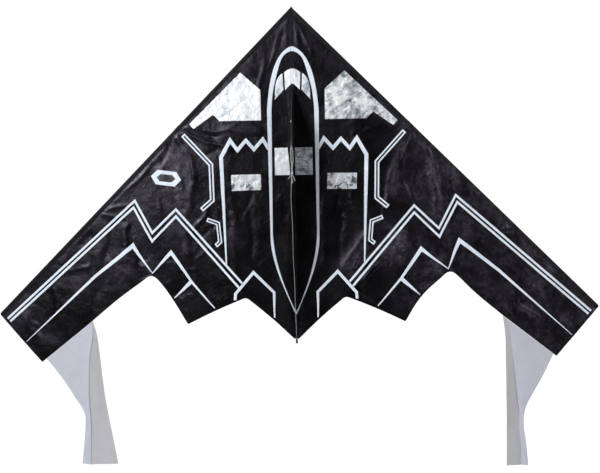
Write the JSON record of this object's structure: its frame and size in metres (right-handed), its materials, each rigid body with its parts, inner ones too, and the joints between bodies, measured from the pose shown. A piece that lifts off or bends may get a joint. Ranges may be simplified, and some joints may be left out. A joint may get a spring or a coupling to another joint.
{
  "type": "delta kite",
  "caption": "Large black single-line delta kite with silver and pale sewn panels, folding wings, removable spreader, keel with tow loop, and two tails.",
  "frame": {"origin": "the nose of the kite: the top of the spine's nose cap line, on the sail's middle plane, from which it hangs", "axes": "+X along the right wing as seen from the front, +Z towards the nose, -Y out of the front of the sail, where the keel is"},
  "size_m": [2.286, 0.2975, 1.752],
  "materials": {
    "black_ripstop": "satin",
    "webbing": "matte",
    "fibreglass": "satin",
    "vinyl": "satin",
    "moulded_plastic": "satin",
    "eyelet_metal": "polished",
    "white_line": "matte",
    "grey_ripstop": "satin",
    "grey_binding": "matte",
    "silver_foil": "metallic",
    "pale_ripstop": "satin"
  },
  "bodies": {
    "spine": {"spine_spar": "fibreglass", "spine_sleeve": "black_ripstop", "centre_tape": "webbing", "nose_cap": "vinyl", "tail_cap": "vinyl"},
    "left_wing": {"left_main_panel": "black_ripstop", "left_tip_panel": "black_ripstop", "left_leading_edge_sleeve": "black_ripstop", "left_leading_edge_spar": "fibreglass", "left_edge_spar_caps": "vinyl", "left_trailing_hem": "black_ripstop", "left_nose_patch": "webbing", "left_spreader_patch": "webbing", "left_silver_wing_panel": "silver_foil", "left_silver_intake": "silver_foil", "left_silver_square": "silver_foil", "left_cockpit_side_pane": "silver_foil", "left_cockpit_front_pane": "silver_foil", "left_fuselage_strip": "pale_ripstop", "left_engine_strip": "pale_ripstop", "left_tail_strip": "pale_ripstop", "left_double_chevron": "pale_ripstop", "left_single_chevron": "pale_ripstop", "left_upper_bracket": "pale_ripstop", "left_lower_bracket": "pale_ripstop", "left_emblem_patch": "pale_ripstop"},
    "right_wing": {"right_main_panel": "black_ripstop", "right_tip_panel": "black_ripstop", "right_leading_edge_sleeve": "black_ripstop", "right_leading_edge_spar": "fibreglass", "right_edge_spar_caps": "vinyl", "right_trailing_hem": "black_ripstop", "right_nose_patch": "webbing", "right_spreader_patch": "webbing", "right_silver_wing_panel": "silver_foil", "right_silver_intake": "silver_foil", "right_silver_square": "silver_foil", "right_cockpit_side_pane": "silver_foil", "right_cockpit_front_pane": "silver_foil", "right_fuselage_strip": "pale_ripstop", "right_engine_strip": "pale_ripstop", "right_tail_strip": "pale_ripstop", "right_double_chevron": "pale_ripstop", "right_single_chevron": "pale_ripstop", "right_upper_bracket": "pale_ripstop", "right_lower_bracket": "pale_ripstop"},
    "spreader": {"spreader_rod": "fibreglass", "left_spreader_hook": "moulded_plastic", "right_spreader_hook": "moulded_plastic"},
    "keel": {"keel_panel": "black_ripstop", "keel_binding": "grey_binding", "keel_patch": "webbing", "tow_eyelet": "eyelet_metal", "upper_eyelet": "eyelet_metal"},
    "tow_line": {"tow_loop": "white_line", "tow_tail": "white_line", "tow_knot": "white_line", "tow_end_knot": "white_line"},
    "left_tail": {"left_tail": "grey_ripstop"},
    "right_tail": {"right_tail": "grey_ripstop"}
  },
  "joints": [
    {"name": "left_wing_fold", "type": "hinge", "parent": "spine", "child": "left_wing", "pos_m": [-0.005, -0.0004, -0.6], "axis": [0, 0, 1], "range_deg": [0, 85]},
    {"name": "right_wing_fold", "type": "hinge", "parent": "spine", "child": "right_wing", "pos_m": [0.005, -0.0004, -0.6], "axis": [0, 0, 1], "range_deg": [-85, 0]},
    {"name": "spreader_release", "type": "slide", "parent": "spine", "child": "spreader", "axis": [0, 1, 0], "range_m": [0, 0.15]},
    {"name": "keel_flap", "type": "hinge", "parent": "spine", "child": "keel", "pos_m": [0, -0.0006, -0.8], "axis": [0, 0, 1], "range_deg": [-70, 70]},
    {"name": "tow_loop_swing", "type": "hinge", "parent": "keel", "child": "tow_line", "pos_m": [0, -0.26256, -0.54644], "axis": [1, 0, 0], "range_deg": [-160, 5]},
    {"name": "left_tail_swing", "type": "hinge", "parent": "left_wing", "child": "left_tail", "pos_m": [-0.781, 0, -1.1815], "axis": [-0.7861, 0, -0.6182], "range_deg": [-75, 75]},
    {"name": "right_tail_swing", "type": "hinge", "parent": "right_wing", "child": "right_tail", "pos_m": [0.781, 0, -1.1815], "axis": [0.7861, 0, -0.6182], "range_deg": [-75, 75]}
  ]
}
